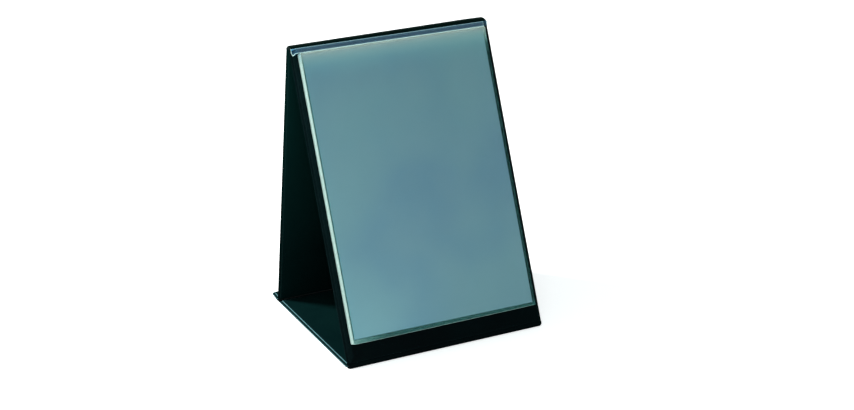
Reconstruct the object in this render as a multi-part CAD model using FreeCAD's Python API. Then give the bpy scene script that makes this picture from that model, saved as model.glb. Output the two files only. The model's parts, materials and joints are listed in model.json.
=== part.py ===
import FreeCAD, Part
import math
import os

# Tabletop presentation easel: vinyl covered boards that stand as an A-frame,
# with a stack of clear pockets hung from the top edge of the front panel.
# Millimetres. +X is right, the front faces -Y, +Z is up.
# The origin is the bottom centre of the easel's box, on the table.

# Boards and their vinyl
panel_side = 7.0           # board beside the pockets, each side
panel_corner = 3.0         # rounded corner of a covered board
chipboard = 2.2            # stiff core
vinyl = 0.4                # one skin
weld_rim = 2.5             # border where the two skins are welded together

# How the easel stands
front_slope = 66.7         # front panel against the table, degrees
leg_lean = 9.1             # rear leg against the vertical, degrees

# Hinges made of the vinyl itself
hinge_web = 0.8            # two skins welded together
hinge_clearance = 0.4      # running gap round a hinge bead
front_bead = 1.5           # radius of the folded vinyl at the front edge
top_bead = 1.2             # radius of the folded vinyl at the top edge
top_bead_rise = 0.2        # hinge line above the top edge of the front panel
top_tongue = 7.0           # welded flange of the top hinge on the panel
crease_bead = 0.8          # radius of the crease that carries the stop flap
base_setback = 5.5         # hinge line to the front edge of the base board

# Where the leg stands
foot_clearance = 0.3       # foot above the vinyl in the groove
groove_front = 2.2         # room in front of the foot
groove_rear = 2.2          # foot to the crease line of the stop flap
flap_length = 15.3         # crease line to the rear edge
flap_tilt = 9.0            # resting angle of the stop flap, degrees

# Pockets and what they hold
page_count = 10
insert_width = 210.0       # A4 sheet, portrait
insert_length = 297.0
insert_thickness = 0.25
insert_play = 0.02         # sheet to film, front and back
insert_side_play = 0.5     # sheet to the side and bottom welds
insert_below_mouth = 1.5   # sheet below the open top of its pocket
pocket_film = 0.15
side_weld = 2.5            # welded border of a pocket, left and right
bottom_weld = 4.0
pocket_corner = 5.0
pocket_rise = 21.0         # bottom of the pockets above the bottom of the panel
pocket_drop = 7.0          # mouth of the pockets below the top of the panel
page_gap = 0.29            # air between two pockets
panel_gap = 0.3            # air between the panel and the last pocket

# Clear film that the pockets swing on
film = 0.4
film_inset = 1.0           # film in from the side of the panel
film_root = 0.6            # radius of the rolled edge at the panel
film_root_gap = 0.4        # rolled edge to the panel's face
film_tip = 0.4             # radius of the rolled edge at the pockets
film_tip_gap = 0.3         # rolled edge to the first pocket
film_tip_rise = 0.3        # rolled edge above the pockets' top edge
weld_strip_height = 4.0    # clear strip welded along the panel's top
weld_strip_drop = 2.0      # its upper edge below the panel's top
weld_strip = 0.2

# Places that follow from the sizes above, measured from the front hinge line
board_thickness = chipboard + 2 * vinyl
half_board = board_thickness / 2
pocket_width = insert_width + 2 * (insert_side_play + side_weld)
pocket_height = bottom_weld + insert_side_play + insert_length + insert_below_mouth
panel_width = pocket_width + 2 * panel_side
film_width = panel_width - 2 * film_inset
panel_low = front_bead + hinge_clearance
panel_high = panel_low + pocket_rise + pocket_height + pocket_drop
page_thickness = insert_thickness + 2 * (insert_play + pocket_film)
page_pitch = page_thickness + page_gap
stack_back = half_board + panel_gap
stack_front = stack_back + page_count * page_pitch - page_gap
pocket_low = panel_low + pocket_rise
pocket_high = pocket_low + pocket_height
film_root_out = half_board + film_root_gap + film_root
film_tip_out = stack_front + film_tip_gap + film_tip
film_tip_up = pocket_high + film_tip_rise
top_hinge_up = panel_high + top_bead_rise
leg_inner = top_bead + foot_clearance
leg_outer = leg_inner + board_thickness
top_hinge_out = -(half_board + leg_inner)


def world_point(origin, angle, along, out):
    """Y and Z of a place given along a board and out from it."""
    turn = math.radians(angle)
    return (
        origin[0] + along * math.cos(turn) - out * math.sin(turn),
        origin[1] + along * math.sin(turn) + out * math.cos(turn),
    )


# Lines measured from the front hinge line, which lies one board half up
front_hinge = (0.0, max(front_bead, half_board))
top_hinge = world_point(front_hinge, front_slope, top_hinge_up, top_hinge_out)
leg_angle = leg_lean - 90.0
inner_offset = (leg_inner * math.cos(math.radians(leg_lean)),
                leg_inner * math.sin(math.radians(leg_lean)))
leg_length = ((top_hinge[1] + inner_offset[1] - hinge_web - foot_clearance)
              / math.cos(math.radians(leg_lean)))
foot_inner = world_point(top_hinge, leg_angle, leg_length, leg_inner)
foot_outer = world_point(top_hinge, leg_angle, leg_length, leg_outer)
base_rear = foot_inner[0] - groove_front
crease = (foot_outer[0] + groove_rear, crease_bead)
flap_low = crease_bead + foot_clearance
rear_edge = max(
    world_point(crease, flap_tilt, flap_length, out)[0]
    for out in (-crease_bead, board_thickness - crease_bead)
)
front_edge = -front_bead
middle = (front_edge + rear_edge) / 2


def rounded_slab(width, low, high, back, front, corner):
    """A flat plate across X, from low to high along it, with round corners."""
    side = width / 2
    bend = corner * (1 - math.sqrt(0.5))
    if corner <= 0:
        plate = Part.makeBox(width, high - low, front - back)
        plate.translate(FreeCAD.Vector(-side, low, back))
        return plate
    edges = []
    for sign_x, sign_y in ((1, 1), (-1, 1), (-1, -1), (1, -1)):
        end = high if sign_y > 0 else low
        on_side = (sign_x * side, end - sign_y * corner)
        on_end = (sign_x * (side - corner), end)
        middle_point = (sign_x * (side - bend), end - sign_y * bend)
        first, last = (on_side, on_end) if sign_x * sign_y > 0 else (on_end, on_side)
        edges.append([FreeCAD.Vector(x, y, back) for x, y in (first, middle_point, last)])
    outline = []
    for number, (start, halfway, end) in enumerate(edges):
        following = edges[(number + 1) % len(edges)][0]
        outline.append(Part.Arc(start, halfway, end).toShape())
        outline.append(Part.LineSegment(end, following).toShape())
    return Part.Face(Part.Wire(outline)).extrude(FreeCAD.Vector(0, 0, front - back))


def bead(width, along, out, radius):
    """A round bead of vinyl or film across the whole width."""
    return Part.makeCylinder(
        radius, width, FreeCAD.Vector(-width / 2, along, out), FreeCAD.Vector(1, 0, 0))


def band(width, start, end, thickness):
    """A flat strip of film between two lines across X."""
    rise = math.degrees(math.atan2(end[1] - start[1], end[0] - start[0]))
    length = math.hypot(end[0] - start[0], end[1] - start[1])
    strip = Part.makeBox(width, length, thickness)
    strip.translate(FreeCAD.Vector(-width / 2, 0, -thickness / 2))
    strip.rotate(FreeCAD.Vector(0, 0, 0), FreeCAD.Vector(1, 0, 0), rise)
    strip.translate(FreeCAD.Vector(0, start[0], start[1]))
    return strip


def joined(pieces):
    """One solid from pieces that run into each other."""
    return pieces[0].fuse(pieces[1:]).removeSplitter()


def covered_board(low, high, back, skin_on_front):
    """Core, cover with its welded rim, and lining of one board."""
    front = back + board_thickness
    core_back = back + vinyl
    lining_back = back if skin_on_front else front - vinyl
    pocket_back = min(core_back, lining_back)
    inside = panel_width - 2 * weld_rim
    inner_low, inner_high = low + weld_rim, high - weld_rim
    corner = min(panel_corner, (high - low) / 2 - weld_rim)
    core = rounded_slab(inside, inner_low, inner_high, core_back, core_back + chipboard, 0)
    lining = rounded_slab(inside, inner_low, inner_high, lining_back, lining_back + vinyl, 0)
    hollow = rounded_slab(
        inside, inner_low, inner_high, pocket_back, pocket_back + chipboard + vinyl, 0)
    cover = rounded_slab(panel_width, low, high, back, front, corner).cut(hollow)
    return core, cover, lining


def placed(shape, line, angle):
    """Turns a board's own frame to its angle and puts it on its hinge line."""
    moved = shape.copy()
    moved.rotate(FreeCAD.Vector(0, 0, 0), FreeCAD.Vector(1, 0, 0), angle)
    moved.translate(FreeCAD.Vector(0, line[0] - middle, line[1]))
    return moved


def base_pieces():
    core, cover, lining = covered_board(base_setback, base_rear, -half_board, False)
    web_low = -front_hinge[1]
    front_web = joined([
        bead(panel_width, 0, 0, front_bead),
        rounded_slab(panel_width, 0, base_setback, web_low, web_low + hinge_web, 0),
    ])
    rear_web = joined([
        bead(panel_width, crease[0], crease[1] + web_low, crease_bead),
        rounded_slab(panel_width, base_rear, crease[0], web_low, web_low + hinge_web, 0),
    ])
    pieces = {
        "base_board": core,
        "base_cover_vinyl": cover,
        "base_lining_vinyl": lining,
        "front_hinge_vinyl": front_web,
        "rear_crease_vinyl": rear_web,
    }
    return {name: placed(shape, front_hinge, 0) for name, shape in pieces.items()}


def stop_flap_pieces():
    core, cover, lining = covered_board(flap_low, flap_length, -crease_bead, False)
    pieces = {
        "stop_flap_board": core,
        "stop_flap_cover_vinyl": cover,
        "stop_flap_lining_vinyl": lining,
    }
    return {name: placed(shape, crease, flap_tilt) for name, shape in pieces.items()}


def front_panel_pieces():
    core, cover, lining = covered_board(panel_low, panel_high, -half_board, True)
    tongue_out = -half_board - hinge_web
    top_web = joined([
        bead(panel_width, top_hinge_up, top_hinge_out, top_bead),
        rounded_slab(panel_width, top_hinge_up - top_tongue, top_hinge_up,
                     tongue_out, -half_board, 0),
    ])
    strip_high = panel_high - weld_strip_drop
    strip = rounded_slab(
        film_width, strip_high - weld_strip_height, strip_high,
        half_board, half_board + weld_strip, 0)
    pieces = {
        "front_board": core,
        "front_cover_vinyl": cover,
        "front_lining_vinyl": lining,
        "top_hinge_vinyl": top_web,
        "film_weld_strip": strip,
    }
    return {name: placed(shape, front_hinge, front_slope) for name, shape in pieces.items()}


def back_panel_pieces():
    core, cover, lining = covered_board(0, leg_length, leg_inner, True)
    pieces = {
        "back_board": core,
        "back_cover_vinyl": cover,
        "back_lining_vinyl": lining,
    }
    return {name: placed(shape, top_hinge, leg_angle) for name, shape in pieces.items()}


def hinge_film_pieces():
    root = (panel_high, film_root_out)
    tip = (film_tip_up, film_tip_out)
    hinge_film = joined([
        bead(film_width, root[0], root[1], film_root),
        band(film_width, root, tip, film),
        bead(film_width, tip[0], tip[1], film_tip),
    ])
    return {"page_hinge_film": placed(hinge_film, front_hinge, front_slope)}


def page_pieces():
    """Pocket 1 is the outermost one, and its mouth is at the top."""
    pieces = {}
    for number in range(page_count):
        front = stack_front - number * page_pitch
        back = front - page_thickness
        pocket = rounded_slab(
            pocket_width, pocket_low, pocket_high, back, front, pocket_corner)
        mouth = rounded_slab(
            pocket_width - 2 * side_weld, pocket_low + bottom_weld,
            pocket_high + pocket_corner, back + pocket_film, front - pocket_film, 0)
        sheet_low = pocket_low + bottom_weld + insert_side_play
        sheet_back = back + pocket_film + insert_play
        sheet = rounded_slab(
            insert_width, sheet_low, sheet_low + insert_length,
            sheet_back, sheet_back + insert_thickness, 0)
        pieces["pocket_%02d" % (number + 1)] = pocket.cut(mouth)
        pieces["insert_%02d" % (number + 1)] = sheet
    return {name: placed(shape, front_hinge, front_slope) for name, shape in pieces.items()}


def report_lines():
    """The hinge lines, for whoever needs them."""
    root = world_point(front_hinge, front_slope, panel_high, film_root_out)
    tip = world_point(front_hinge, front_slope, film_tip_up, film_tip_out)
    lines = {
        "front hinge": front_hinge,
        "top hinge": top_hinge,
        "flap crease": crease,
        "film root": root,
        "film tip": tip,
    }
    for name, (along_y, along_z) in lines.items():
        print("%s line: y %.4f z %.4f" % (name, along_y - middle, along_z))
    print("leg to front panel: %.3f degrees" % (90.0 - front_slope + leg_lean))


def main():
    os.makedirs("parts", exist_ok=True)
    groups = (base_pieces(), stop_flap_pieces(), front_panel_pieces(),
              back_panel_pieces(), hinge_film_pieces(), page_pieces())
    for group in groups:
        for name, shape in group.items():
            shape.exportStep("parts/%s.step" % name)
    report_lines()


main()
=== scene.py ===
import json
import math
import random

import bmesh
import bpy
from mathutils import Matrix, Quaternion, Vector


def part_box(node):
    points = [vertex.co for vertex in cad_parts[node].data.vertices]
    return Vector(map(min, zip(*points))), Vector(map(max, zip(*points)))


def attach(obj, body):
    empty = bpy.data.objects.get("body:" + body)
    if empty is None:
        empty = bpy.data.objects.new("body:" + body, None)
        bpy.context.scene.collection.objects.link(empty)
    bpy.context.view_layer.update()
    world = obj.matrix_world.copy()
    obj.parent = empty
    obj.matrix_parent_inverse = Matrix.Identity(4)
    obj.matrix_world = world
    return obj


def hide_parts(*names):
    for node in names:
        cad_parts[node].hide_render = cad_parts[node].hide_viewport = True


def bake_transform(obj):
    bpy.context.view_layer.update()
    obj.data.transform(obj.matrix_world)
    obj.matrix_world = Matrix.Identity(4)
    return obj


# Tabletop presentation easel: vinyl covered boards, clear pockets, blank teal sheets.
# Lengths are in millimetres and become metres where a mesh or a light is made.
MM = 0.001

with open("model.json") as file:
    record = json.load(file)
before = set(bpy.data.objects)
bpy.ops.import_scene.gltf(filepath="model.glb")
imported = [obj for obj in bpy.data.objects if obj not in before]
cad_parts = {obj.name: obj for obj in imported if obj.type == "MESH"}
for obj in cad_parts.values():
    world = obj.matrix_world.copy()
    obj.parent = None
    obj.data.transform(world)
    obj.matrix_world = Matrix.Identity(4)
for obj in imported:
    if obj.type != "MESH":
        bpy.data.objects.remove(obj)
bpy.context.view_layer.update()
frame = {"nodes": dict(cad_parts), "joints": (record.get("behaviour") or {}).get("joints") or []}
chance = random.Random(11)

# Skins of a covered board. A thin welded flange runs round it on one side.
BOARD_CORNER = 3.0
HIDDEN_CORNER = 1.2        # corner beside a hinge
CORNER_STEPS = 8
FOOT_REACH = 0.22          # how far the leg's skins reach into the gap under its foot
FLANK_FADE = 0.35          # how much of the painted light on the left margin is left at the foot of the panel
# How a skin runs from the inside over the weld seam to its face: inset from the edge,
# height above the middle of the board, wear with a painted rim highlight
FLAT_SKIN = (
    (0.30, 1.10, 0.0), (0.08, 1.12, 0.1), (0.00, 1.24, 0.9), (0.06, 1.40, 1.0), (0.25, 1.50, 0.4),
    (1.20, 1.50, 0.0), (1.60, 1.44, 0.0), (1.90, 1.40, 0.0), (2.20, 1.44, 0.0), (2.60, 1.50, 0.2),
    (3.20, 1.50, 0.0), (6.60, 1.50, 0.0), (8.60, 1.50, 0.0),
)
RAISED_SKIN = (
    (2.45, 1.12, 0.0), (2.43, -1.08, 0.0), (0.30, -1.08, 0.0), (0.08, -1.05, 0.1),
    (0.00, -0.92, 0.6), (0.07, -0.77, 1.0), (0.28, -0.70, 0.9), (0.75, -0.70, 0.1),
    (1.40, -0.71, 0.0), (1.85, -0.78, 0.0), (2.04, -0.66, 0.0), (2.10, 0.00, 0.0),
    (2.14, 0.62, 0.0), (2.22, 0.98, 0.1), (2.36, 1.24, 0.7), (2.62, 1.42, 1.0),
    (2.85, 1.50, 0.2), (3.20, 1.50, 0.0), (6.60, 1.50, 0.0), (8.60, 1.50, 0.0),
)

# Vinyl that crosses a hinge
HINGE_SKIN = 0.8
TOP_SKIN = 0.5
SPINE_RISE = 3.1           # how far the fold over the top stands above the boards
SPINE_LEFT_END = 2.4       # how much of that fold rounds off at its ends
SPINE_RIGHT_END = 6.5
SPINE_LEAN = 1.6           # how much lower the fold stands at its left end
FOLD_CORNER = 3.4          # rounded end of the fold on the table
FOLD_TRIM = 0.8            # how much narrower that fold is cut, at each end

# Pockets
POCKET_FILM = 0.15
POCKET_CORNER = 1.4
LEFT_WELD = 1.2
RIGHT_WELD = 3.0
BOTTOM_WELD = 4.0
RIGHT_TRIM = 1.2           # how much narrower the pockets are cut on the right
WELD_BEAD = 0.6            # thick outer edge of the weld
WAVE = 0.07                # how far the films and sheets wave, all alike
PAGE_SHIFT = 0.22          # how unevenly the pockets hang, sideways

# How milky the pocket film is, for each face that the light goes through.
# The bottom weld, the left margin, the mouth and the lower left corner are made milkier as painted glow.
FILM_HAZE = 0.004
RIGHT_HAZE = 0.010
BOTTOM_HAZE_AND_GLOW = 0.026
LEFT_GLOW = 0.04
LEFT_REACH = 7.0
MOUTH_GLOW = 0.30
MOUTH_REACH = 36.0
CORNER_GLOW = 0.45           # painted glow at the lower left corner of the front pocket
CORNER_REACH = 24.0

# Sheets
SHEET_THICKNESS = 0.25
SHEET_SHIFT = -1.45        # the sheets lie against the left side of their pockets
SHEET_TRIM = 0.25

# The front sheet, cut a little out of square
FRONT_SHEET_LEFT_RISE = 0.4
FRONT_SHEET_RIGHT_DROP = 1.0

# Hinge film
FILM = 0.4
FILM_SAG = 1.6
FILM_END_SAG = 4.6
RIGHT_END_SAG = 1.4
FILM_TRIM = 4.2            # how much narrower the film is cut, on the right
FILM_TAPER = 4.8           # how much narrower the film is at the pockets, on the right
ROOT_DROP = 0.8            # how far the rolled edge lies below the hinge line
FOLD_HAZE = 0.11
# Strength of the painted highlight along the tip fold
FOLD_HIGHLIGHT = 0.85
FILM_END = 6.0             # how much of each end droops


def colour(red, green, blue):
    """A screen colour, 0 to 255, as the linear colour that shaders take."""
    linear = []
    for value in (red, green, blue):
        share = value / 255
        linear.append(share / 12.92 if share <= 0.04045 else ((share + 0.055) / 1.055) ** 2.4)
    return (*linear, 1.0)


class Slab:
    """The own frame of a flat CAD piece: along it, out of it, and how far it reaches."""

    def __init__(self, node, facing):
        mesh = frame["nodes"][node].data
        widest = max(mesh.polygons, key=lambda polygon: polygon.area).normal
        out = Vector((0, widest.y, widest.z)).normalized()
        self.out = out if out.dot(Vector(facing)) > 0 else -out
        self.along = Vector((0, self.out.z, -self.out.y))
        places = [vertex.co / MM for vertex in mesh.vertices]
        self.low = min(place.dot(self.along) for place in places)
        self.high = max(place.dot(self.along) for place in places)
        self.back = min(place.dot(self.out) for place in places)
        self.front = max(place.dot(self.out) for place in places)
        self.side = max(place.x for place in places)
        self.middle = (self.back + self.front) / 2
        self.half = (self.front - self.back) / 2

    def at(self, x, along, out):
        return Vector((x, 0, 0)) + self.along * along + self.out * out


FRONT, UP, REAR = (0, -1, 0.4), (0, 0, 1), (0, 1, 0.1)
front_board = Slab("front_cover_vinyl", FRONT)
leg_board = Slab("back_cover_vinyl", REAR)
leg_board.high += FOOT_REACH
base_board = Slab("base_cover_vinyl", UP)
flap_board = Slab("stop_flap_cover_vinyl", UP)


def hinge_line(joint):
    found = next(j for j in frame["joints"] if j["name"] == joint)
    return Vector((0, found["pos_m"][1], found["pos_m"][2])) / MM


FRONT_HINGE = hinge_line("front_panel_fold")
TOP_HINGE = hinge_line("back_panel_fold")
FLAP_CREASE = hinge_line("stop_flap_crease")
FILM_ROOT = hinge_line("hinge_film_swing")
FILM_TIP = hinge_line("page_01_flip")


# Materials

def new_material(name):
    material = bpy.data.materials.new(name)
    material.use_nodes = True
    tree = material.node_tree
    tree.nodes.clear()
    output = tree.nodes.new("ShaderNodeOutputMaterial")
    return material, tree, output


def node(tree, kind, **values):
    """A new node, with the named inputs set or linked."""
    made = tree.nodes.new("ShaderNode" + kind)
    for name, value in values.items():
        socket = made.inputs[name.replace("_", " ")]
        if isinstance(value, bpy.types.NodeSocket):
            tree.links.new(value, socket)
        else:
            socket.default_value = value
    return made


def noise(tree, place, scale, detail=3.0, roughness=0.5):
    return node(tree, "TexNoise", Vector=place, Scale=scale, Detail=detail,
                Roughness=roughness).outputs["Fac"]


def spread(tree, value, low, high, to_low=0.0, to_high=1.0):
    """Maps low..high to to_low..to_high."""
    made = node(tree, "MapRange", Value=value)
    for name, number in (("From Min", low), ("From Max", high), ("To Min", to_low), ("To Max", to_high)):
        made.inputs[name].default_value = number
    return made.outputs["Result"]


def mixed(tree, share, first, second, how="MIX"):
    """A colour between two colours."""
    made = tree.nodes.new("ShaderNodeMix")
    made.data_type = "RGBA"
    made.blend_type = how
    for socket, value in ((made.inputs[0], share), (made.inputs[6], first), (made.inputs[7], second)):
        if isinstance(value, bpy.types.NodeSocket):
            tree.links.new(value, socket)
        else:
            socket.default_value = value
    return made.outputs[2]


def attribute(tree, name):
    made = tree.nodes.new("ShaderNodeAttribute")
    made.attribute_name = name
    return made.outputs["Fac"]


def bumped(tree, layers):
    """A normal from several heights, each with its depth in metres."""
    normal = None
    for height, depth in layers:
        made = node(tree, "Bump", Height=height, Strength=1.0, Distance=depth)
        if normal is not None:
            tree.links.new(normal, made.inputs["Normal"])
        normal = made.outputs["Normal"]
    return normal


def leather_vinyl(name, dark, light, edge_and_painted_shading, high=None):
    """Black vinyl with a fine leather grain and a green cast, smooth and paler at its edges from wear and a
    painted rim highlight.
    With a colour for high, it fades to that colour towards the top of the easel, as painted light."""
    material, tree, output = new_material(name)
    place = tree.nodes.new("ShaderNodeTexCoord").outputs["Object"]
    cells = node(tree, "TexVoronoi", Vector=place, Scale=1250.0, Randomness=1.0)
    cells.feature = "SMOOTH_F1"
    cells.inputs["Smoothness"].default_value = 0.55
    pits = noise(tree, place, 2600.0, 2.0)
    cloud = noise(tree, place, 14.0, 4.0, 0.6)
    scuffs = noise(tree, place, 60.0, 6.0, 0.75)
    tone = mixed(tree, spread(tree, cloud, 0.35, 0.65), dark, light)
    # Lighter towards the top of the easel: painted light
    if high:
        height = node(tree, "SeparateXYZ", Vector=place).outputs["Z"]
        tone = mixed(tree, spread(tree, height, 0.06, 0.30), tone, high)
    # Paler edges: partly wear, partly a painted highlight where light catches the rims
    worn_and_lit = node(tree, "Math", Value=attribute(tree, "wear_and_painted_light"))
    worn_and_lit.operation = "MULTIPLY"
    tree.links.new(spread(tree, scuffs, 0.3, 0.7, 0.6, 1.0), worn_and_lit.inputs[1])
    tone = mixed(tree, worn_and_lit.outputs[0], tone, edge_and_painted_shading)
    normal = bumped(tree, ((cells.outputs["Distance"], 0.00007), (pits, 0.00002), (cloud, 0.0004)))
    grazing = node(tree, "LayerWeight", Blend=0.3, Normal=normal).outputs["Facing"]
    polish = node(tree, "Math", Value=worn_and_lit.outputs[0])
    polish.operation = "POWER"
    polish.inputs[1].default_value = 2.0
    satin = node(tree, "Math", Value=spread(tree, grazing, 0.2, 1.0, 0.0, 0.08))
    satin.operation = "MAXIMUM"
    tree.links.new(polish.outputs[0], satin.inputs[1])
    shader = node(tree, "BsdfPrincipled", Base_Color=tone, Normal=normal,
                  Roughness=spread(tree, scuffs, 0.2, 0.8, 0.44, 0.58), Coat_Weight=satin.outputs[0])
    shader.inputs["Specular IOR Level"].default_value = 0.012
    shader.inputs["Coat Roughness"].default_value = 0.22
    tree.links.new(shader.outputs[0], output.inputs[0])
    return material


def grey_board():
    """Pressed chipboard, hidden inside the vinyl."""
    material, tree, output = new_material("chipboard")
    place = tree.nodes.new("ShaderNodeTexCoord").outputs["Object"]
    flecks = noise(tree, place, 700.0, 5.0, 0.7)
    tone = mixed(tree, spread(tree, flecks, 0.35, 0.65), colour(128, 118, 103), colour(171, 162, 146))
    normal = bumped(tree, ((flecks, 0.00005),))
    shader = node(tree, "BsdfPrincipled", Base_Color=tone, Normal=normal, Roughness=0.9)
    tree.links.new(shader.outputs[0], output.inputs[0])
    return material


def clear_film(name, tint, milk, glow_tone, edge_and_highlight_colour):
    """Clear soft vinyl: milky by the haze value, which also carries painted glow, in a paler tone where the
    glow value paints a glow, and pale by the edge value at cut edges and painted highlights.
    """
    material, tree, output = new_material(name)
    place = tree.nodes.new("ShaderNodeTexCoord").outputs["Object"]
    ripples = noise(tree, place, 22.0, 3.0)
    normal = bumped(tree, ((ripples, 0.0006),))
    see_through = node(tree, "BsdfTransparent", Color=tint)
    tone = mixed(tree, attribute(tree, "painted_glow"), milk, glow_tone)
    scatter = node(tree, "BsdfDiffuse", Color=tone, Normal=normal)
    passing = node(tree, "BsdfTranslucent", Color=tone, Normal=normal)
    milky = node(tree, "MixShader", Fac=0.25)
    tree.links.new(scatter.outputs[0], milky.inputs[1])
    tree.links.new(passing.outputs[0], milky.inputs[2])
    body = node(tree, "MixShader", Fac=attribute(tree, "haze_and_glow"))
    tree.links.new(see_through.outputs[0], body.inputs[1])
    tree.links.new(milky.outputs[0], body.inputs[2])
    gloss = node(tree, "BsdfGlossy", Color=(1, 1, 1, 1), Roughness=0.12, Normal=normal)
    outside = node(tree, "Math", Value=1.0)
    outside.operation = "SUBTRACT"
    tree.links.new(tree.nodes.new("ShaderNodeNewGeometry").outputs["Backfacing"], outside.inputs[1])
    facing = node(tree, "LayerWeight", Blend=0.5, Normal=normal).outputs["Facing"]
    shine = node(tree, "Math", Value=spread(tree, facing, 0.25, 1.0, 0.0, 0.4))
    shine.operation = "MULTIPLY"
    tree.links.new(outside.outputs[0], shine.inputs[1])
    coated = node(tree, "MixShader", Fac=shine.outputs[0])
    tree.links.new(body.outputs[0], coated.inputs[1])
    tree.links.new(gloss.outputs[0], coated.inputs[2])
    cut = node(tree, "BsdfPrincipled", Base_Color=edge_and_highlight_colour, Roughness=0.4)
    cut.inputs["Specular IOR Level"].default_value = 0.2
    whole = node(tree, "MixShader", Fac=attribute(tree, "edge_and_painted_shading"))
    tree.links.new(coated.outputs[0], whole.inputs[1])
    tree.links.new(cut.outputs[0], whole.inputs[2])
    tree.links.new(whole.outputs[0], output.inputs[0])
    return material


def card_sheet():
    """A blank teal-grey card sheet, softly uneven, with painted light making it paler to the left and low
    down.
    """
    material, tree, output = new_material("insert_sheet")
    place = tree.nodes.new("ShaderNodeTexCoord").outputs["Object"]
    wide = noise(tree, place, 9.0, 2.0, 0.4)
    drift = noise(tree, place, 17.0, 3.0, 0.5)
    fibres = noise(tree, place, 900.0, 4.0, 0.6)
    parts = node(tree, "SeparateXYZ", Vector=place)
    # Paler to the left and low down: painted light
    leftward = spread(tree, parts.outputs["X"], 0.02, -0.12, 0.0, 0.5)
    downward = spread(tree, parts.outputs["Z"], 0.11, 0.0, 0.2, 1.0)
    painted_light = node(tree, "Math", Value=leftward)
    painted_light.operation = "MULTIPLY"
    tree.links.new(downward, painted_light.inputs[1])
    tone = mixed(tree, spread(tree, wide, 0.38, 0.62), colour(87, 116, 134), colour(95, 126, 136))
    tone = mixed(tree, spread(tree, drift, 0.3, 0.7, 0.0, 0.5), tone, colour(101, 127, 138))
    tone = mixed(tree, painted_light.outputs[0], tone, colour(118, 160, 170))
    tone = mixed(tree, spread(tree, fibres, 0.3, 0.7, 0.0, 0.06), tone, colour(60, 90, 100))
    # Darker cut edges: a painted shade line along the sheet's edges
    tone = mixed(tree, attribute(tree, "edge_and_painted_shading"), tone, colour(62, 90, 98))
    normal = bumped(tree, ((fibres, 0.00002),))
    shader = node(tree, "BsdfPrincipled", Base_Color=tone, Normal=normal, Roughness=0.75)
    shader.inputs["Specular IOR Level"].default_value = 0.25
    tree.links.new(shader.outputs[0], output.inputs[0])
    return material


# The edge colours stand for wear and a painted rim highlight; the lining's is brightest, for the lit rims of
# the base
VINYL = leather_vinyl("black_vinyl", colour(0, 3, 4), colour(0, 6, 7), colour(38, 72, 76))
LINING = leather_vinyl("lining_vinyl", colour(3, 23, 24), colour(6, 29, 29), colour(100, 152, 160))
# The inside of the leg: a darker copy of the lining for the shade it lies in, fading lighter towards the
# top, painted shade and light
LEG_LINING_IN_SHADE = leather_vinyl("leg_lining_vinyl", colour(0, 11, 11), colour(1, 14, 14), colour(30, 66, 68),
                           high=colour(4, 32, 30))
# A lighter, greener copy of the black vinyl for the fold over the top, painted light on the upward face
SPINE = leather_vinyl("spine_vinyl", colour(0, 14, 11), colour(1, 18, 15), colour(38, 72, 76))
CHIPBOARD = grey_board()
POCKET = clear_film("pocket_film", colour(250, 254, 253), colour(140, 226, 224),
                    colour(204, 218, 208), colour(182, 210, 203))
# Its pale edge colour also paints the highlights along the folds
FOLD_FILM = clear_film("fold_film", colour(205, 226, 240), colour(118, 168, 190),
                       colour(118, 168, 190), colour(206, 242, 236))
SHEET = card_sheet()


# Meshes

def new_piece(name, points, faces, material, marks=None, sharp=40.0):
    """A mesh from points in millimetres, with the named values stored on its points."""
    mesh = bpy.data.meshes.new(name)
    mesh.from_pydata([point * MM for point in points], [], faces)
    for mark, values in (marks or {}).items():
        layer = mesh.attributes.new(mark, "FLOAT", "POINT")
        layer.data.foreach_set("value", values)
    work = bmesh.new()
    work.from_mesh(mesh)
    bmesh.ops.recalc_face_normals(work, faces=work.faces)
    work.to_mesh(mesh)
    work.free()
    mesh.polygons.foreach_set("use_smooth", [True] * len(mesh.polygons))
    mesh.set_sharp_from_angle(angle=math.radians(sharp))
    mesh.materials.append(material)
    piece = bpy.data.objects.new(name, mesh)
    bpy.context.scene.collection.objects.link(piece)
    return piece


def rounded_outline(slab, inset, low_corner, high_corner):
    """Points round the edge of a board, moved in by inset: across, along, how far it faces left."""
    points = []
    for sign, upper, first in ((1, True, 0), (-1, True, 90), (-1, False, 180), (1, False, 270)):
        radius = max((high_corner if upper else low_corner) - inset, 0.25)
        across = sign * (slab.side - inset - radius)
        along = slab.high - inset - radius if upper else slab.low + inset + radius
        for step in range(CORNER_STEPS + 1):
            angle = math.radians(first + 90 * step / CORNER_STEPS)
            points.append((across + radius * math.cos(angle), along + radius * math.sin(angle),
                           max(-math.cos(angle), 0.0)))
    return points


def board_skin(name, slab, side, profile, low_corner, high_corner, material, wear_and_highlight_share, flank_painted_light):
    """One skin of a board, on the side that faces out (1) or the other one (-1)."""
    points, wear_and_painted_light, faces = [], [], []
    for inset, height, worn_and_lit in profile:
        # The front panel's left margin is paler: painted light, with less of it towards the foot
        flank_light = flank_painted_light if 0.2 < inset < 7.0 else 0.0
        for across, along, leftward in rounded_outline(slab, inset, low_corner, high_corner):
            points.append(slab.at(across, along, slab.middle + side * height))
            fade = FLANK_FADE if along < (slab.low + slab.high) / 2 else 1.0
            wear_and_painted_light.append(max(worn_and_lit * wear_and_highlight_share, flank_light * fade * leftward ** 2))
    count = len(points) // len(profile)
    for ring in range(len(profile) - 1):
        for step in range(count):
            following = (step + 1) % count
            first, second = ring * count, (ring + 1) * count
            faces.append((first + step, first + following, second + following, second + step))
    faces.append(tuple(range(count)))
    faces.append(tuple(reversed(range(len(points) - count, len(points)))))
    return new_piece(name, points, faces, material, {"wear_and_painted_light": wear_and_painted_light})


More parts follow.
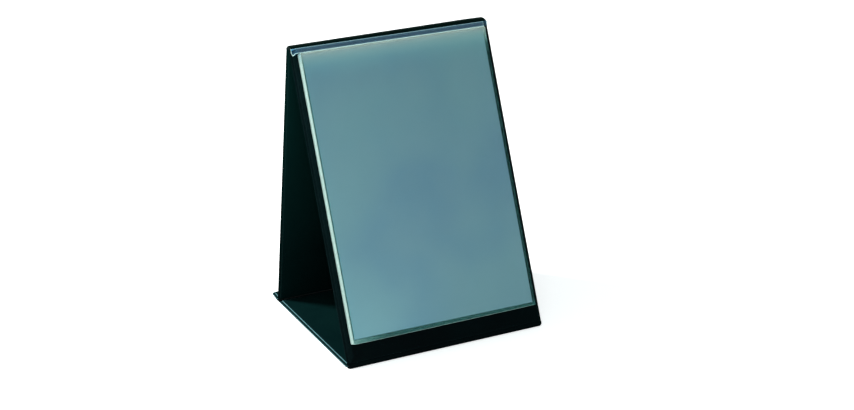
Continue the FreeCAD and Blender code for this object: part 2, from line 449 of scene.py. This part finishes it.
def grid_solid(name, rows, columns, outer, inner, material, marks=None):
    """A closed sheet between two grids of points, outer(row, column) and inner(row, column)."""
    points = [outer(r, c) for r in range(rows) for c in range(columns)]
    points += [inner(r, c) for r in range(rows) for c in range(columns)]
    shift = rows * columns
    faces = []
    for r in range(rows - 1):
        for c in range(columns - 1):
            corner = r * columns + c
            square = (corner, corner + 1, corner + columns + 1, corner + columns)
            faces.append(square)
            faces.append(tuple(shift + index for index in reversed(square)))
    border = [c for c in range(columns)]
    border += [r * columns + columns - 1 for r in range(1, rows)]
    border += [(rows - 1) * columns + c for c in range(columns - 2, -1, -1)]
    border += [r * columns for r in range(rows - 2, 0, -1)]
    for number, index in enumerate(border):
        following = border[(number + 1) % len(border)]
        faces.append((index, shift + index, shift + following, following))
    values = None
    if marks:
        values = {
            mark: [value(r, c) for r in range(rows) for c in range(columns)] * 2
            for mark, value in marks.items()
        }
    return new_piece(name, points, faces, material, values)


def smooth_path(points, steps):
    """A smooth line through points, with so many steps from each to the next."""
    ends = [2 * points[0] - points[1]] + points + [2 * points[-1] - points[-2]]
    line = []
    for number in range(1, len(ends) - 2):
        before, start, end, after = ends[number - 1:number + 3]
        for step in range(steps):
            t = step / steps
            line.append(0.5 * (
                2 * start + (end - before) * t
                + (2 * before - 5 * start + 4 * end - after) * t * t
                + (3 * start - before - 3 * end + after) * t ** 3))
    return line + [points[-1]]


def side_of(line, number):
    """The direction square to a line across X, at one of its points."""
    before, after = line[max(number - 1, 0)], line[min(number + 1, len(line) - 1)]
    run = (after - before).normalized()
    return Vector((0, -run.z, run.y))


def cross_positions(half_width, insets, inner_steps):
    """Places across a strip: close together at both ends and even between them."""
    left = [-half_width + inset for inset in insets]
    span = half_width - insets[-1]
    middle = [-span + 2 * span * step / inner_steps for step in range(1, inner_steps)]
    return left + middle + [-place for place in reversed(left)]


def corner_cut(reach, corner):
    """How much narrower a rounded sheet is, so far from its end."""
    if reach >= corner:
        return 0.0
    return corner - math.sqrt(max(corner * corner - (corner - reach) ** 2, 0.0))


def ramp(value, low, high):
    share = min(max((value - low) / (high - low), 0.0), 1.0)
    return share * share * (3 - 2 * share)


END_INSETS = (0.0, 0.12, 0.35, 0.7, 1.2, 1.8, 2.6, 3.6)
END_THICKNESS = (0.5, 0.78, 0.94, 1.0, 1.0)


def vinyl_strip(name, path, thickness, half_width, corners, creases=(), droop=None, wear_and_painted_light=1.0,
                material=VINYL):
    """A strip of vinyl across the easel that follows a path, with rounded ends and pressed lines."""
    line = smooth_path(path, 6)
    length = [0.0]
    for first, second in zip(line, line[1:]):
        length.append(length[-1] + (second - first).length)

    def width_at(row):
        cut = 0.0
        for place, corner in corners:
            cut = max(cut, corner_cut(abs(length[row] - place * length[-1]), corner))
        return half_width - cut

    def thin(row, column):
        rank = min(column, columns - 1 - column)
        share = END_THICKNESS[rank] if rank < len(END_THICKNESS) else 1.0
        rank = min(row, len(line) - 1 - row)
        share *= (0.6, 0.9, 1.0)[min(rank, 2)]
        for crease in creases:
            away = abs(length[row] / length[-1] - crease) * length[-1]
            share *= 1 - 0.35 * math.exp(-(away / 0.35) ** 2)
        return share

    def point(row, column, sign):
        across = cross_positions(width_at(row), END_INSETS, 12)[column]
        place = line[row] + side_of(line, row) * sign * thickness / 2 * thin(row, column)
        lower = droop(line[row], across) if droop else 0.0
        return Vector((across, place.y, place.z - lower))

    columns = 2 * len(END_INSETS) + 11
    # The rims of a strip carry wear and a painted rim highlight
    rank_wear_and_highlight = (1.0, 0.8, 0.3)

    def worn_and_lit(row, column):
        rank = min(column, columns - 1 - column)
        return wear_and_painted_light * rank_wear_and_highlight[rank] if rank < len(rank_wear_and_highlight) else 0.0

    return grid_solid(
        name, len(line), columns, lambda r, c: point(r, c, 1), lambda r, c: point(r, c, -1),
        material, {"wear_and_painted_light": worn_and_lit})


# Boards

def cover_board(title, slab, corners, body, cover_side, flange_side, wear_and_highlight_share, lining, flank_painted_light=0.0):
    """Cover and lining of one board, each in place of its CAD node. The flange is flat on one side."""
    node_name = title.replace("_panel", "")
    for part, side in (("cover", cover_side), ("lining", -cover_side)):
        profile = FLAT_SKIN if side == flange_side else RAISED_SKIN
        inside = part == "lining" or side != flange_side and body != "front_panel"
        skin = board_skin(title + "_" + part + "_skin", slab, side, profile, *corners,
                          lining if inside else VINYL, wear_and_highlight_share, flank_painted_light)
        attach(skin, body)
        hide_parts(node_name + "_" + part + "_vinyl")


# The front panel gets a paler left margin, painted light
cover_board("front_panel", front_board, (HIDDEN_CORNER, 2.6), "front_panel", 1, -1, 0.06, LINING, flank_painted_light=0.12)
cover_board("back_panel", leg_board, (2.0, BOARD_CORNER), "back_panel", 1, 1, 0.06, LEG_LINING_IN_SHADE)
cover_board("base", base_board, (HIDDEN_CORNER, HIDDEN_CORNER), "base", -1, -1, 1.0, LINING)
cover_board("stop_flap", flap_board, (HIDDEN_CORNER, BOARD_CORNER), "stop_flap", -1, -1, 1.0, LINING)

for core in ("front_board", "back_board", "base_board", "stop_flap_board"):
    core_mesh = frame["nodes"][core].data
    core_mesh.materials.clear()
    core_mesh.materials.append(CHIPBOARD)


# Hinges of vinyl

def front_hinge():
    """Runs from the base's front edge round the fold on the table and up to the panel."""
    half = HINGE_SKIN / 2
    reach = base_board.low - FRONT_HINGE.y
    path = [
        Vector((0, FRONT_HINGE.y + reach + 0.25, half)),
        Vector((0, FRONT_HINGE.y + reach * 0.5, half)),
        Vector((0, FRONT_HINGE.y + 0.3, half)),
        Vector((0, FRONT_HINGE.y - 0.85, half + 0.45)),
        Vector((0, FRONT_HINGE.y - 1.05, half + 1.35)),
        front_board.at(0, front_board.low - 0.35, front_board.front - half - 0.12),
        front_board.at(0, front_board.low + 0.8, front_board.front - half - 0.08),
        front_board.at(0, front_board.low + 1.95, front_board.front - half - 0.08),
    ]
    strip = vinyl_strip("front_hinge_strip", path, HINGE_SKIN, front_board.side - FOLD_TRIM,
                        ((0.57, FOLD_CORNER),), creases=(0.12, 0.3), wear_and_painted_light=0.1)
    end = front_board.at(0, front_board.low - 0.2, front_board.middle) * MM
    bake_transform(strip)
    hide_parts("front_hinge_vinyl")


def top_hinge():
    """Runs over the top of the panel and of the leg, in one gentle curve."""
    lift = TOP_SKIN / 2
    spine = TOP_HINGE + Vector((0, 0, 1.0 + SPINE_RISE))
    path = [
        front_board.at(0, front_board.high - 1.9, front_board.front - lift - 0.05),
        front_board.at(0, front_board.high - 0.5, front_board.front - lift - 0.1),
        front_board.at(0, front_board.high + 0.9, front_board.front - 0.75),
        spine + Vector((0, -1.6, -0.3)),
        spine + Vector((0, 0.9, 0.0)),
        spine + Vector((0, 3.1, -0.4)),
        leg_board.at(0, leg_board.low - 1.1, leg_board.front - 0.15),
        leg_board.at(0, leg_board.low + 0.4, leg_board.front + lift - 0.05),
        leg_board.at(0, leg_board.low + 2.2, leg_board.front + lift),
    ]
    hidden = min(front_board.at(0, front_board.high - 0.6, front_board.middle).z,
                 leg_board.at(0, leg_board.low + 0.6, leg_board.middle).z)

    highest = spine.z - hidden

    def droop(place, across):
        rise = max(place.z - hidden, 0.0)
        leftward = 0.5 - across / (2 * front_board.side)
        lean = SPINE_LEAN * leftward * rise / highest
        end = SPINE_LEFT_END if across < 0 else SPINE_RIGHT_END
        inward = min(max((front_board.side - abs(across)) / end, 0.0), 1.0)
        return lean + (rise - lean) * (1 - math.sqrt(1 - (1 - inward) ** 2))

    strip = vinyl_strip("top_hinge_strip", path, TOP_SKIN, front_board.side,
                        ((0.0, 0.8), (1.0, 0.8)), creases=(0.38, 0.66), droop=droop, wear_and_painted_light=0.0,
                        material=SPINE)
    start = front_board.at(0, front_board.high, front_board.back) * MM
    end = leg_board.at(0, leg_board.low, leg_board.back + 0.2) * MM
    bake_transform(strip)
    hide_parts("top_hinge_vinyl")


def rear_crease():
    """Runs flat under the foot of the leg and up into the stop flap."""
    half = HINGE_SKIN / 2
    path = [
        Vector((0, base_board.high - 0.25, half)),
        Vector((0, (base_board.high + FLAP_CREASE.y) / 2, half)),
        Vector((0, FLAP_CREASE.y - 0.6, half)),
        Vector((0, FLAP_CREASE.y + 0.5, half + 0.05)),
        flap_board.at(0, flap_board.low + 0.3, flap_board.back + half),
    ]
    strip = vinyl_strip("rear_crease_strip", path, HINGE_SKIN, base_board.side, (),
                        creases=(0.2, 0.5, 0.8))
    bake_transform(strip)
    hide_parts("rear_crease_vinyl")


front_hinge()
top_hinge()
rear_crease()


# Clear film

def wave(across, along):
    """How far the films and the sheets stand out, the same for all of them."""
    return WAVE * (
        0.5 * math.sin(across / 31.0 + 0.8 * math.sin(along / 57.0))
        + 0.5 * math.sin(along / 43.0 + 1.3 + 0.6 * math.sin(across / 71.0)))


POCKET_INSETS = (0.0, 0.15, 0.45, 0.8, 1.3, 1.9, 2.5, 3.1, 3.8, 4.8, 6.5)
POCKET_INNER = 18
POCKET_ROWS = 26


def pocket(number):
    """Two films welded at the sides and the bottom and open at the top."""
    name = "pocket_%02d" % number
    slab = Slab(name, FRONT)
    shift = chance.uniform(-PAGE_SHIFT, PAGE_SHIFT)
    alongs = [slab.low + inset for inset in POCKET_INSETS]
    span = slab.high - slab.low - 2 * POCKET_INSETS[-1]
    alongs += [slab.low + POCKET_INSETS[-1] + span * step / POCKET_ROWS for step in range(1, POCKET_ROWS)]
    alongs += [slab.high - inset for inset in reversed(POCKET_INSETS)]
    columns = 2 * len(POCKET_INSETS) + POCKET_INNER - 1

    def across_at(row, column):
        reach = min(alongs[row] - slab.low, slab.high - alongs[row])
        half_width = slab.side - PAGE_SHIFT - RIGHT_TRIM / 2 - corner_cut(reach, POCKET_CORNER)
        return shift - RIGHT_TRIM / 2 + cross_positions(half_width, POCKET_INSETS, POCKET_INNER)[column]

    def inset(rank):
        return POCKET_INSETS[rank] if rank < len(POCKET_INSETS) else math.inf

    def from_weld(row, column):
        """How far in from the nearest closed edge, in widths of the weld there."""
        return min(inset(column) / LEFT_WELD, inset(columns - 1 - column) / RIGHT_WELD,
                   (alongs[row] - slab.low) / BOTTOM_WELD)

    def from_edge(row, column):
        return min(inset(column), inset(columns - 1 - column), alongs[row] - slab.low)

    def closed_gap(row, column):
        return (slab.half - POCKET_FILM) * ramp(from_weld(row, column), 0.75, 1.25)

    def film(sign):
        def outer(row, column):
            bead = (slab.half - POCKET_FILM) * (1 - ramp(from_edge(row, column), 0.2, WELD_BEAD))
            gap = max(closed_gap(row, column), bead) + POCKET_FILM
            across = across_at(row, column)
            return slab.at(across, alongs[row], slab.middle + sign * gap + wave(across, alongs[row]))

        def inner(row, column):
            gap = closed_gap(row, column)
            across = across_at(row, column)
            return slab.at(across, alongs[row], slab.middle + sign * gap + wave(across, alongs[row]))
        return outer, inner

    # Milky at the welds, and milkier still at the bottom, the left margin and the mouth, painted glow
    def haze_and_glow(row, column):
        right = RIGHT_HAZE if inset(columns - 1 - column) < RIGHT_WELD else 0.0
        bottom = BOTTOM_HAZE_AND_GLOW if alongs[row] - slab.low < BOTTOM_WELD else 0.0
        left = LEFT_GLOW * (1 - ramp(inset(column), 0.0, LEFT_REACH))
        return FILM_HAZE + max(right, bottom, left, MOUTH_GLOW * painted_glow(row, column))

    def painted_glow(row, column):
        """A painted glow on the front pocket, below its mouth and at its lower left corner."""
        if number > 1:
            return 0.0
        if alongs[row] - slab.low < BOTTOM_WELD:
            from_left = across_at(row, column) - across_at(row, 0)
            return CORNER_GLOW * math.exp(-from_left / CORNER_REACH)
        away = (slab.high - alongs[row]) / MOUTH_REACH
        return 0.6 * max(1 - away, 0.0) ** 2 + 0.4 * (1 - ramp(away, 0.0, 0.35))

    # Only the left and bottom cut edges are pale, the sides the light falls on; the right edge stays clear,
    # painted light
    def edge_and_painted_shading(row, column):
        return 1.0 if min(column, row) == 0 else 0.0

    marks = {"haze_and_glow": haze_and_glow, "painted_glow": painted_glow, "edge_and_painted_shading": edge_and_painted_shading}
    pieces = []
    for sign, word in ((1, "front"), (-1, "back")):
        outer, inner = film(sign)
        pieces.append(grid_solid(name + "_" + word, len(alongs), columns, outer, inner, POCKET, marks))
    whole = joined(name + "_film", pieces)
    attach(whole, "page_%02d" % number)
    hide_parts(name)
    return slab, shift


def joined(name, pieces):
    """One object from several, under a new name."""
    with bpy.context.temp_override(
            active_object=pieces[0], object=pieces[0],
            selected_objects=pieces, selected_editable_objects=pieces):
        bpy.ops.object.join()
    pieces[0].name = name
    pieces[0].data.name = name
    return pieces[0]


def sheet_shares(steps):
    """Shares from 0 to 1, with a narrow step at each end for the cut edge."""
    return [0.0, 0.0015] + [step / steps for step in range(1, steps)] + [0.9985, 1.0]


def insert(number, pocket_slab, shift):
    """A blank sheet in its pocket. The front one is cut a little out of square."""
    name = "insert_%02d" % number
    slab = Slab(name, FRONT)
    turn = math.radians(chance.uniform(-0.05, 0.05))
    left_rise = FRONT_SHEET_LEFT_RISE if number == 1 else chance.uniform(0.0, 0.5)
    right_drop = FRONT_SHEET_RIGHT_DROP if number == 1 else chance.uniform(-0.3, 0.0)
    shares = sheet_shares(34), sheet_shares(44)
    columns, rows = len(shares[0]), len(shares[1])

    def place(row, column, side):
        s, t = shares[0][column], shares[1][row]
        across = (2 * s - 1) * (slab.side - SHEET_TRIM) + SHEET_SHIFT + shift
        low = slab.low + left_rise * (1 - s) - right_drop * s
        along = low + (slab.high - low) * t + math.sin(turn) * across * 0.3
        out = slab.middle + side * SHEET_THICKNESS / 2 + wave(across, along)
        return slab.at(across, along, out)

    # The edges carry a painted shade line
    def edge_and_painted_shading(row, column):
        return 1.0 if row in (0, rows - 1) or column in (0, columns - 1) else 0.0

    card = grid_solid(name + "_card", rows, columns, lambda r, c: place(r, c, 1),
                      lambda r, c: place(r, c, -1), SHEET, {"edge_and_painted_shading": edge_and_painted_shading})
    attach(card, "page_%02d" % number)
    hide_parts(name)


page_names = sorted(name for name in frame["nodes"] if name.startswith("pocket_"))
for page in range(1, len(page_names) + 1):
    insert(page, *pocket(page))


def film_marks(columns, painted_light):
    """The hinge film is pale where it is cut, and carries a painted highlight along its folds, by the row
    mask.
    """
    def edge_and_painted_shading(row, column):
        return 1.0 if column in (0, columns - 1) else painted_light(row)
    return {"edge_and_painted_shading": edge_and_painted_shading, "haze_and_glow": lambda row, column: FOLD_HAZE}


def hinge_film():
    """Clear film from the rolled edge at the panel to the pockets, sagging between them."""
    half_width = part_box("page_hinge_film")[1].x / MM
    root, tip = FILM_ROOT, FILM_TIP
    down = Vector((0, 0.2, -1)).normalized()
    middle = (root + tip) / 2
    path = [
        root + Vector((0, 0.3, -0.7 - ROOT_DROP)),
        root + Vector((0, 0.1, -0.15 - ROOT_DROP)),
        root + Vector((0, -0.9, -0.35 - ROOT_DROP * 0.8)),
        root.lerp(tip, 0.3) + down * 0.6,
        middle + down,
        root.lerp(tip, 0.75) + down * 0.6,
        tip + Vector((0, 0.6, 0.15)),
        tip + Vector((0, -0.1, -0.1)),
    ]
    line = smooth_path(path, 4)
    rows = len(line)
    crest = 4

    # Painted highlight along the rolled root fold and along the tip fold
    def painted_light(row):
        return max(1 - ramp(row, crest, crest + 3), FOLD_HIGHLIGHT * ramp(row, rows - 4, rows - 1))

    insets = (0.0, 0.3, 1.0, 2.0, 3.2, 4.6, 6.0, 8.0)
    places = cross_positions(half_width, insets, 24)
    columns = len(places)

    def point(row, column, sign):
        t = row / (rows - 1)
        across = places[column]
        bow = math.sin(math.pi * t) ** 1.5
        ends = ramp(FILM_END - (half_width - abs(across)), 0.0, FILM_END)
        end_sag = FILM_END_SAG if across < 0 else RIGHT_END_SAG
        sag = bow * (FILM_SAG * (1 - ends) * 0.6 + end_sag * ends)
        place = line[row] + down * sag + side_of(line, row) * sign * FILM / 2
        taper = (FILM_TRIM + FILM_TAPER * ramp(t, 0.1, 1.0)) * ramp(across, 0.0, half_width)
        return Vector((across - taper, place.y, place.z))

    film = grid_solid("page_hinge_film_fold", rows, columns, lambda r, c: point(r, c, 1),
                      lambda r, c: point(r, c, -1), FOLD_FILM, film_marks(columns, painted_light))
    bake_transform(film)
    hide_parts("page_hinge_film")


def weld_strip():
    """The foot of the hinge film, welded to the face of the panel."""
    slab = Slab("film_weld_strip", FRONT)
    path = [
        slab.at(0, slab.low, slab.back + 0.14),
        slab.at(0, slab.high - 1.2, slab.back + 0.14),
        slab.at(0, slab.high + 0.4, slab.back + 0.3),
        FILM_ROOT + Vector((0, 0.42, -0.75)),
    ]
    line = smooth_path(path, 5)
    rows = len(line)
    places = cross_positions(slab.side, (0.0, 0.3, 1.0, 3.0), 30)

    def point(row, column, sign):
        place = line[row] + side_of(line, row) * sign * 0.1
        return Vector((places[column], place.y, place.z))

    strip = grid_solid("film_weld_foot", rows, len(places), lambda r, c: point(r, c, 1),
                       lambda r, c: point(r, c, -1), FOLD_FILM, film_marks(len(places), lambda row: 0.0))
    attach(strip, "front_panel")
    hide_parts("film_weld_strip")


hinge_film()
weld_strip()


# Floor, light and camera

def seen_white(tree, strength):
    """A share that is strength for what the camera, gloss or glass sees and 0 for the rest."""
    path = tree.nodes.new("ShaderNodeLightPath")
    total = None
    for name in ("Is Camera Ray", "Is Glossy Ray", "Is Transmission Ray"):
        if total is None:
            total = path.outputs[name]
            continue
        summed = node(tree, "Math")
        summed.operation = "MAXIMUM"
        tree.links.new(total, summed.inputs[0])
        tree.links.new(path.outputs[name], summed.inputs[1])
        total = summed.outputs[0]
    scaled = node(tree, "Math")
    scaled.operation = "MULTIPLY"
    tree.links.new(total, scaled.inputs[0])
    scaled.inputs[1].default_value = strength
    return scaled.outputs[0]


def pale_floor():
    material, tree, output = new_material("pale_floor")
    place = tree.nodes.new("ShaderNodeTexCoord").outputs["Object"]
    cloud = noise(tree, place, 6.0, 2.0)
    tone = mixed(tree, cloud, colour(243, 245, 245), colour(249, 250, 250))
    matt = node(tree, "BsdfDiffuse", Color=tone)
    glow = node(tree, "Emission", Color=(1, 1, 1, 1), Strength=seen_white(tree, 0.55))
    both = tree.nodes.new("ShaderNodeAddShader")
    tree.links.new(matt.outputs[0], both.inputs[0])
    tree.links.new(glow.outputs[0], both.inputs[1])
    tree.links.new(both.outputs[0], output.inputs[0])
    mesh = bpy.data.meshes.new("floor")
    reach = 6.0
    corners = [(-reach, -reach, 0), (reach, -reach, 0), (reach, reach, 0), (-reach, reach, 0)]
    mesh.from_pydata(corners, [], [(0, 1, 2, 3)])
    mesh.materials.append(material)
    floor = bpy.data.objects.new("floor", mesh)
    floor.location.z = -0.0002
    bpy.context.scene.collection.objects.link(floor)


def white_world(ambient):
    world = bpy.data.worlds.new("studio")
    bpy.context.scene.world = world
    world.use_nodes = True
    tree = world.node_tree
    tree.nodes.clear()
    output = tree.nodes.new("ShaderNodeOutputWorld")
    even = node(tree, "Background", Color=colour(240, 250, 252), Strength=ambient)
    seen = node(tree, "Background", Color=(1, 1, 1, 1), Strength=1.0)
    blend = node(tree, "MixShader", Fac=seen_white(tree, 1.0))
    tree.links.new(even.outputs[0], blend.inputs[1])
    tree.links.new(seen.outputs[0], blend.inputs[2])
    tree.links.new(blend.outputs[0], output.inputs[0])


def lamp(name, towards, distance, size, watts, tint):
    """A square soft lamp that looks at the middle of the easel."""
    aim = Vector((0, 0, 0.15))
    data = bpy.data.lights.new(name, "AREA")
    data.shape = "SQUARE"
    data.size = size
    data.energy = watts
    data.color = tint[:3]
    light = bpy.data.objects.new(name, data)
    place = aim + Vector(towards).normalized() * distance
    light.location = place
    light.rotation_mode = "QUATERNION"
    light.rotation_quaternion = (aim - place).to_track_quat("-Z", "Y")
    bpy.context.scene.collection.objects.link(light)


def camera():
    """Stands where the photograph was taken from."""
    azimuth, elevation, roll = math.radians(-26.828), math.radians(21.854), math.radians(-0.137)
    distance, lens = 1976.1, 77.05
    aim = Vector((27.85, 0.0, 119.44))
    back = Vector((math.sin(azimuth) * math.cos(elevation),
                   -math.cos(azimuth) * math.cos(elevation), math.sin(elevation)))
    data = bpy.data.cameras.new("camera")
    data.lens = lens
    data.sensor_width = 36.0
    data.clip_end = 50.0
    eye = bpy.data.objects.new("camera", data)
    eye.location = (aim + back * distance) * MM
    eye.rotation_mode = "QUATERNION"
    turn = (-back).to_track_quat("-Z", "Y")
    eye.rotation_quaternion = turn @ Quaternion((0, 0, 1), roll)
    bpy.context.scene.collection.objects.link(eye)
    bpy.context.scene.camera = eye


pale_floor()
white_world(0.5)
lamp("back_left_lamp", (-0.595, 0.50, 0.629), 1.9, 0.3, 57.0, (1.0, 1.0, 0.97))
lamp("front_lamp", (-0.32, -0.95, -0.03), 1.05, 0.5, 10.0, (0.97, 1.0, 1.0))
camera()

bpy.context.scene.view_settings.view_transform = "Standard"
